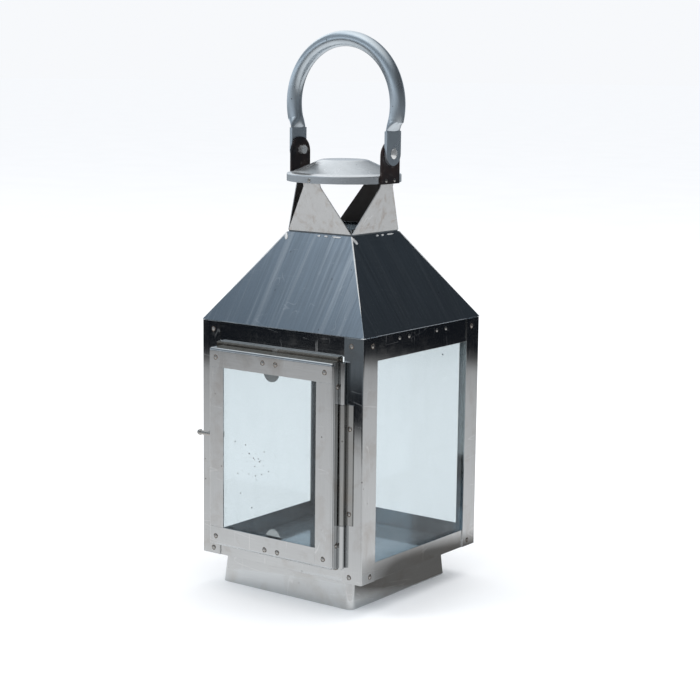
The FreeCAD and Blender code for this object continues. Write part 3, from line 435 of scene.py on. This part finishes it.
def look_of(node):
    """Which look a CAD node has."""
    if "glass" in node:
        return "glass"
    if node == "handle" or node == "cap":
        return node
    if node.startswith("handle_strap"):
        return "strap"
    if node == "floor_plate":
        return "floor"
    if node.startswith("roof_panel"):
        return "roof_x" if node.endswith(("front", "back")) else "roof_y"
    if node.startswith("chimney_petal"):
        return "petal"
    if "pivot" in node:
        return "pivot"
    if "rivets" in node or node.startswith("latch"):
        return "rivet"
    if node == "post_front_right":
        return "bent_post"
    if node in ("door_left_stile", "door_right_stile"):
        return "door_stile"
    if node in ("door_top_rail", "door_bottom_rail"):
        return "door_rail"
    if node.startswith("collar"):
        return "collar"
    if node == "hinge_leaf_body":
        return "hinge"
    if "rail" in node or node == "plinth":
        return "level"
    return "polished"


def dress_cad_nodes():
    """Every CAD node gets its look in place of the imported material."""
    for name, piece in NODES.items():
        piece.data.materials.clear()
        piece.data.materials.append(LOOKS[look_of(name)])


# ---------------------------------------------------------------- added details


def add_piece(name, mesh, look, body):
    """A new piece from a bmesh, riding on a body."""
    data = bpy.data.meshes.new(name)
    mesh.to_mesh(data)
    mesh.free()
    data.materials.append(LOOKS[look])
    piece = bpy.data.objects.new(name, data)
    bpy.context.scene.collection.objects.link(piece)
    data.shade_smooth()
    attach(piece, body)


def rivet_spots(node):
    """The middle of each rivet of a node and how far it reaches from there along each axis."""
    reach = 5 * MM  # more than a rivet's own size and less than the way to the next one
    groups = []
    for vertex in NODES[node].data.vertices:
        for group in groups:
            if (group[0] - vertex.co).length < reach:
                group.append(vertex.co.copy())
                break
        else:
            groups.append([vertex.co.copy()])
    spots = []
    for group in groups:
        low = Vector(min(point[axis] for point in group) for axis in range(3))
        high = Vector(max(point[axis] for point in group) for axis in range(3))
        spots.append(((low + high) / 2, (high - low) / 2))
    return spots


def outward(spot):
    """The level axis along which a point of the body faces away from the lantern's middle."""
    away = spot - AXIS
    if abs(away.x) > abs(away.y):
        return Vector((math.copysign(1, away.x), 0, 0))
    return Vector((0, math.copysign(1, away.y), 0))


HEAD_HEIGHT = 0.6 * MM
HEAD_RADIUS = 1.5 * MM
GRIME_REACH = 1.3  # of the head's radius
GRIME_HIGH, GRIME_LOW = 0.1 * MM, 0.01 * MM  # over the sheet: at the head and at the outer rim
GRIME_STEPS = 28


def add_ring(mesh, middle, side, up, reaches):
    """A closed ring of points about a middle, at the given reach for each turn."""
    ring = []
    for step, reach in enumerate(reaches):
        turn = 2 * math.pi * step / len(reaches)
        ring.append(mesh.verts.new(middle + (side * math.cos(turn) + up * math.sin(turn)) * reach))
    return ring


def join_rings(mesh, rings):
    """Sheets between rings that follow one another."""
    for inner, outer in zip(rings, rings[1:]):
        for step in range(len(inner)):
            after = (step + 1) % len(inner)
            mesh.faces.new((inner[step], outer[step], outer[after], inner[after]))


def add_rivet_grime(node, body, facing=None):
    """A thin dark ring on the sheet round each rivet's head, a little ragged."""
    mesh = bmesh.new()
    up = Vector((0, 0, 1))
    for number, (middle, half) in enumerate(rivet_spots(node)):
        out = facing or outward(middle)
        base = middle + out * (abs(out.dot(half)) - HEAD_HEIGHT)
        ragged = []
        for step in range(GRIME_STEPS):
            turn = 2 * math.pi * step / GRIME_STEPS
            waves = 0.09 * math.sin(3 * turn + number) + 0.06 * math.sin(7 * turn + 2 * number)
            ragged.append(HEAD_RADIUS * (GRIME_REACH + waves))
        side = up.cross(out)
        over, under = base + out * GRIME_HIGH, base + out * GRIME_LOW
        rings = [
            add_ring(mesh, over, side, up, [HEAD_RADIUS * 0.8] * GRIME_STEPS),
            add_ring(mesh, over, side, up, [HEAD_RADIUS * 1.05] * GRIME_STEPS),
            add_ring(mesh, under, side, up, ragged),
        ]
        join_rings(mesh, rings)
    bmesh.ops.recalc_face_normals(mesh, faces=mesh.faces)
    add_piece(f"grime_{node}", mesh, "grime", body)


SEAM_STEPS = 24
SEAM_HALF = 0.75  # mm, the seam's half width over most of its length
WEDGE_HALF = 1.7  # mm, how much wider the half is at its foot
WEDGE_POWER = 6  # how soon that runs out up the hip
# Across the seam, as a share of its half width, and the lift there, as a share of the sheet.
SEAM_SECTION = ((-1.0, 0.02), (-0.45, 0.3), (0.0, 0.38), (0.45, 0.3), (1.0, 0.02))


def add_hip_seam(name, sign_x, sign_y):
    """The folded seam along one hip of the roof: a raised strip that widens to a wedge at its foot."""
    mesh = bmesh.new()
    low = Vector((sign_x * BODY_HALF, sign_y * BODY_HALF, ROOF_LOW)) + AXIS
    high = Vector((sign_x * NECK_HALF, sign_y * NECK_HALF, ROOF_HIGH)) + AXIS
    out = Vector((sign_x, sign_y, 0)).normalized()
    rows = []
    for step in range(SEAM_STEPS + 1):
        share = step / SEAM_STEPS
        middle = low.lerp(high, share)
        half = (SEAM_HALF + WEDGE_HALF * (1 - share) ** WEDGE_POWER) * MM
        row = []
        for across, lift in SEAM_SECTION:
            along_x = Vector((-sign_x, 0, 0)) * max(across, 0) * half
            along_y = Vector((0, -sign_y, 0)) * max(-across, 0) * half
            row.append(mesh.verts.new(middle + along_x + along_y + out * lift * SHEET))
        rows.append(row)
    for below, above in zip(rows, rows[1:]):
        for left in range(len(SEAM_SECTION) - 1):
            right = left + 1
            mesh.faces.new((below[left], below[right], above[right], above[left]))
    bmesh.ops.recalc_face_normals(mesh, faces=mesh.faces)
    # The seam's pale look is a painted highlight along the hip.
    add_piece(name, mesh, "seam", "lantern")


# Each tab's place along the petal's foot as a share of its half, its half length and half height in
# mm, and how far it is turned on the panel.
FOOT_TABS = (
    (0.02, 1.3, 0.6, 0.0),
    (0.24, 1.5, 0.6, 0.0),
    (0.56, 4.6, 0.6, 0.0),
    (-0.97, 1.3, 3.0, 0.5),
)
TAB_SECTION = ((1.0, 0.0), (0.92, 0.35), (0.6, 0.5))  # each ring's share of the outline and lift in mm
TAB_STEPS = 24
TAB_GAP = 0.9 * MM


def add_foot_tabs(name, turn):
    """The tabs that hold one petal's foot, pressed flat on the roof panel below it."""
    mesh = bmesh.new()
    low = Vector((0, -BODY_HALF, ROOF_LOW))
    high = Vector((0, -NECK_HALF, ROOF_HIGH))
    up = (high - low).normalized()
    level = Vector((1, 0, 0))
    out = level.cross(up)
    for place, half_length, half_height, lean in FOOT_TABS:
        middle = high + level * place * NECK_HALF - up * (half_height * MM + TAB_GAP)
        along = Matrix.Rotation(lean, 3, out) @ level
        across = out.cross(along)
        rings = []
        for share, lift in TAB_SECTION:
            reaches = []
            for step in range(TAB_STEPS):
                angle = 2 * math.pi * step / TAB_STEPS
                long_part = abs(math.cos(angle)) / (half_length * MM)
                high_part = abs(math.sin(angle)) / (half_height * MM)
                reaches.append(share * (long_part**4 + high_part**4) ** -0.25)
            rings.append(add_ring(mesh, middle + out * lift * MM, along, across, reaches))
        join_rings(mesh, rings)
        mesh.faces.new(rings[-1])
    bmesh.ops.recalc_face_normals(mesh, faces=mesh.faces)
    bmesh.ops.rotate(mesh, verts=mesh.verts, matrix=Matrix.Rotation(turn, 3, "Z"))
    bmesh.ops.translate(mesh, verts=mesh.verts, vec=AXIS)
    # The tabs' pale look is a painted highlight.
    add_piece(name, mesh, "seam", "lantern")


PANE_SPECKS = 26
SPECK_CORNERS = 9


def add_pane_specks():
    """Small dark specks left by the candle's smoke, thickest in one patch of the door's pane."""
    mesh = bmesh.new()
    chance = random.Random(7)
    pane_low, pane_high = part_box("door_glass")
    middle = (Vector(pane_low) + Vector(pane_high)) / 2
    side, up = Vector((1, 0, 0)), Vector((0, 0, 1))
    over_pane = 0.02 * MM
    for _ in range(PANE_SPECKS):
        place = Vector((
            middle.x + chance.gauss(-12, 8) * MM,
            pane_low[1] - over_pane,
            middle.z + chance.gauss(-9, 9) * MM,
        ))
        size = chance.uniform(0.2, 0.55) * MM
        ragged = [size * chance.uniform(0.75, 1.2) for _ in range(SPECK_CORNERS)]
        mesh.faces.new(add_ring(mesh, place, side, up, ragged))
    add_piece("door_pane_specks", mesh, "grime", "door")


def add_details():
    """The petals' tabs, the pane's specks, the hip seams and the grime round the rivets."""
    for quarter, side in enumerate(("front", "right", "back", "left")):
        add_foot_tabs(f"foot_tabs_{side}", quarter * math.pi / 2)
    add_pane_specks()
    for sign_y, depth in ((-1, "front"), (1, "back")):
        for sign_x, width in ((-1, "left"), (1, "right")):
            add_hip_seam(f"hip_seam_{depth}_{width}", sign_x, sign_y)
    front = Vector((0, -1, 0))
    add_rivet_grime("frame_rivets", "lantern")
    add_rivet_grime("hinge_rivets_body", "lantern", front)
    add_rivet_grime("door_corner_rivets", "door", front)
    add_rivet_grime("door_clip_rivets", "door", front)
    add_rivet_grime("hinge_rivets_door", "door", Vector((1, 0, 0)))


# ---------------------------------------------------------------- stage, light and camera


def only_in_reflections(thing):
    """A dark or bright card of the studio that shows in polished metal and nowhere else."""
    thing.visible_camera = False
    thing.visible_diffuse = False
    thing.visible_transmission = False
    thing.visible_volume_scatter = False
    thing.visible_shadow = False


def stage_object(name, mesh, material):
    """An object of the stage from a bmesh."""
    data = bpy.data.meshes.new(name)
    mesh.to_mesh(data)
    mesh.free()
    data.materials.append(material)
    thing = bpy.data.objects.new(name, data)
    bpy.context.scene.collection.objects.link(thing)
    return thing


WORLD_COLOUR = (0.96, 0.975, 1.0)
WORLD_STRENGTH = 0.97
FLOOR_RADIUS = 30
FLOOR_GLOW = 0.06 * WORLD_STRENGTH  # what the floor soaks up, given back so that no horizon shows


def add_floor():
    """A plain pale floor, which gives back as much light as the world behind it."""
    material, add = new_material("floor_pale")
    mottled = noise(add, coordinates(add), 6.0, detail=2.0)
    colour = mix(add, ramp(add, mottled, 0.3, 0.7), (0.93, 0.935, 0.94, 1), (0.95, 0.955, 0.96, 1))
    finish_surface(
        add,
        {
            "Base Color": colour,
            "Roughness": 0.9,
            "Specular IOR Level": 0.0,
            "Emission Color": (*WORLD_COLOUR, 1),
            "Emission Strength": FLOOR_GLOW,
        },
    )
    mesh = bmesh.new()
    bmesh.ops.create_circle(mesh, cap_ends=True, segments=96, radius=FLOOR_RADIUS)
    stage_object("floor", mesh, material)


ROOM = 8.0  # the radius of the dome that the metal mirrors
ROOM_FLOOR = -0.1 * ROOM
GROUND_NEAR = 0.14  # the mirrored ground starts outside the plinth's foot
GROUND_REACH = 2.4  # and has one glow beyond this
LIGHT_SIDE = Vector((-0.91, -0.41, 0))  # level, to the left in the picture and a little behind
DARK_SIDE, BRIGHT_SIDE = 0.25, 2.0  # the room's strength away from that side and on it
WINDOW_SIDE = Vector((-0.6, 0.5, 0.62))  # high at the back left
WINDOW_EDGE = (0.88, 0.95)  # the cosine off its middle where the window starts and is full
WINDOW_COLOUR = (0.75, 0.77, 0.79, 1)
FAR_SIDE = Vector((-0.85, 0.5, 0))  # level, to the back left


def glow_ramp(add, value, stops):
    """A colour by a value from 0 to 1."""
    colours = add("ShaderNodeValToRGB", {"Fac": value})
    points = colours.color_ramp.elements
    while len(points) < len(stops):
        points.new(0.5)
    for point, (place, colour) in zip(points, stops):
        point.position = place
        point.color = (*colour, 1)
    return colours.outputs["Color"]


def room_glow():
    """The room's glow: by its height, brighter on the light side, with one bright window.

    Each stop is a height as a share of the dome's radius and the colour there."""
    material, add = new_material("room_glow")
    material.cycles.emission_sampling = "NONE"
    here = coordinates(add, (1 / ROOM, 1 / ROOM, 1 / ROOM))
    height = add("ShaderNodeSeparateXYZ", {"Vector": here}).outputs["Z"]
    stops = (
        (0.0, (0.3, 0.33, 0.36)),
        (0.08, (0.28, 0.3, 0.33)),
        (0.14, (0.44, 0.49, 0.54)),
        (0.24, (0.3, 0.34, 0.38)),
        (0.34, (0.1, 0.115, 0.135)),
        (0.5, (0.16, 0.18, 0.2)),
        (0.6, (0.11, 0.13, 0.15)),
        (0.665, (0.09, 0.11, 0.13)),
        (0.71, (0.22, 0.25, 0.28)),
        (0.8, (0.5, 0.55, 0.6)),
        (0.92, (0.9, 0.9, 0.9)),
    )
    side = add("ShaderNodeVectorMath", {0: here, 1: LIGHT_SIDE}, operation="DOT_PRODUCT").outputs["Value"]
    strength = ramp(add, side, -0.7, 0.7, DARK_SIDE, BRIGHT_SIDE)
    toward = add("ShaderNodeVectorMath", {0: here, 1: WINDOW_SIDE}, operation="DOT_PRODUCT")
    window = ramp(add, toward.outputs["Value"], *WINDOW_EDGE)
    colour = mix(add, window, glow_ramp(add, height, stops), WINDOW_COLOUR)
    glow = add("ShaderNodeEmission", {"Color": colour, "Strength": strength})
    add("ShaderNodeOutputMaterial", {"Surface": glow.outputs[0]})
    return material


def ground_glow():
    """The ground's glow: pale round the lantern, a dark ring round that, dim beyond, paler far left."""
    material, add = new_material("ground_glow")
    material.cycles.emission_sampling = "NONE"
    here = coordinates(add, (1 / GROUND_REACH, 1 / GROUND_REACH, 0))
    reach = add("ShaderNodeVectorMath", {0: here}, operation="LENGTH").outputs["Value"]
    pale = ((GROUND_NEAR, 1.0), (0.5, 0.8), (0.8, 0.7), (1.02, 0.55), (1.1, 0.2))
    dark, dim = (0.01, 0.012, 0.016), (0.15, 0.17, 0.19)
    stops = [(radius / GROUND_REACH, (level, level, level * 1.01)) for radius, level in pale]
    stops += [(radius / GROUND_REACH, dark) for radius in (1.16, 1.75)]
    stops += [(radius / GROUND_REACH, dim) for radius in (2.0, GROUND_REACH)]
    side = add("ShaderNodeVectorMath", {0: coordinates(add), 1: FAR_SIDE}, operation="DOT_PRODUCT")
    far_left = ramp(add, side.outputs["Value"], 1.8, 2.2)
    paler = (0.24, 0.27, 0.3, 1)
    colour = mix(add, far_left, glow_ramp(add, reach, stops), paler)
    glow = add("ShaderNodeEmission", {"Color": colour, "Strength": 1.0})
    add("ShaderNodeOutputMaterial", {"Surface": glow.outputs[0]})
    return material


def shade_glow():
    """A soft-edged shade: dim in the middle of the sheet it is on and clear at its rim."""
    material, add = new_material("shade_glow")
    material.cycles.emission_sampling = "NONE"
    here = add("ShaderNodeTexCoord").outputs["Object"]
    reach = add("ShaderNodeVectorMath", {0: here}, operation="LENGTH").outputs["Value"]
    dim = add("ShaderNodeEmission", {"Color": (0.17, 0.165, 0.16, 1), "Strength": 1.0})
    clear = add("ShaderNodeBsdfTransparent")
    cleared = ramp(add, reach, 0.6, 1.0)
    both = add("ShaderNodeMixShader", {0: cleared, 1: dim.outputs[0], 2: clear.outputs[0]})
    add("ShaderNodeOutputMaterial", {"Surface": both.outputs[0]})
    return material


SHADE_PLACE = (BODY_HALF + 0.015, 0.09, 0.7 * MM)  # on the ground beside the plinth's right side
SHADE_REACH = (0.08, 0.13, 1)


def add_reflected_room():
    """What the metal mirrors: dim walls, a bright ceiling, pale ground and a shade at the right."""
    mesh = bmesh.new()
    bmesh.ops.create_uvsphere(mesh, u_segments=64, v_segments=32, radius=ROOM)
    below = [vertex for vertex in mesh.verts if vertex.co.z < ROOM_FLOOR]
    bmesh.ops.delete(mesh, geom=below, context="VERTS")
    only_in_reflections(stage_object("room", mesh, room_glow()))

    ground = bmesh.new()
    centre, side, up = Vector((0, 0, 0.5 * MM)), Vector((1, 0, 0)), Vector((0, 1, 0))
    steps = 96
    rims = [add_ring(ground, centre, side, up, [radius] * steps) for radius in (GROUND_NEAR, ROOM)]
    join_rings(ground, rims)
    only_in_reflections(stage_object("reflected_ground", ground, ground_glow()))

    disc = bmesh.new()
    bmesh.ops.create_circle(disc, cap_ends=True, segments=48, radius=1.0)
    shade = stage_object("shade", disc, shade_glow())
    shade.location = SHADE_PLACE
    shade.scale = SHADE_REACH
    only_in_reflections(shade)


def add_area_light(name, place, size, power, target):
    """A round soft light aimed at a target; polished metal doesn't mirror it."""
    light = bpy.data.lights.new(name, "AREA")
    light.shape = "DISK"
    light.size = size
    light.energy = power
    lamp = bpy.data.objects.new(name, light)
    lamp.location = place
    lamp.rotation_euler = (Vector(target) - Vector(place)).to_track_quat("-Z", "Y").to_euler()
    lamp.visible_glossy = False
    bpy.context.scene.collection.objects.link(lamp)


def add_light():
    """Even pale light from all round, a soft key at the front left and a soft top light."""
    world = bpy.data.worlds.new("studio")
    world.use_nodes = True
    background = world.node_tree.nodes["Background"]
    background.inputs["Color"].default_value = (*WORLD_COLOUR, 1)
    background.inputs["Strength"].default_value = WORLD_STRENGTH
    world.cycles_visibility.glossy = False
    bpy.context.scene.world = world
    add_area_light("key", place=(-1.5, -1.9, 2.3), size=1.4, power=26, target=(0, 0, 0.2))
    add_area_light("top", place=(0.3, 0.5, 2.4), size=1.6, power=14, target=(0, 0, 0.3))


CAMERA_PLACE = (0.7941, -1.0552, 0.3982)
CAMERA_TURNS = (36.56, -9.376, 0.65)  # degrees: to the left from +Y, up, and the roll
CAMERA_LENS = 90.75  # mm, on a sensor 36 mm wide


def add_camera():
    """The photograph's viewpoint: turned left from +Y, tilted down, with a slight roll."""
    yaw, pitch, roll = (math.radians(angle) for angle in CAMERA_TURNS)
    data = bpy.data.cameras.new("camera")
    data.sensor_width = 36
    data.lens = CAMERA_LENS
    data.clip_end = 100
    camera = bpy.data.objects.new("camera", data)
    turn = Matrix.Rotation(yaw, 4, "Z") @ Matrix.Rotation(math.pi / 2 + pitch, 4, "X")
    turn = turn @ Matrix.Rotation(roll, 4, "Z")
    camera.matrix_world = Matrix.Translation(CAMERA_PLACE) @ turn
    bpy.context.scene.collection.objects.link(camera)
    bpy.context.scene.camera = camera
    bpy.context.scene.view_settings.view_transform = "Standard"


add_camera()
dress_cad_nodes()
add_details()
add_floor()
add_reflected_room()
add_light()
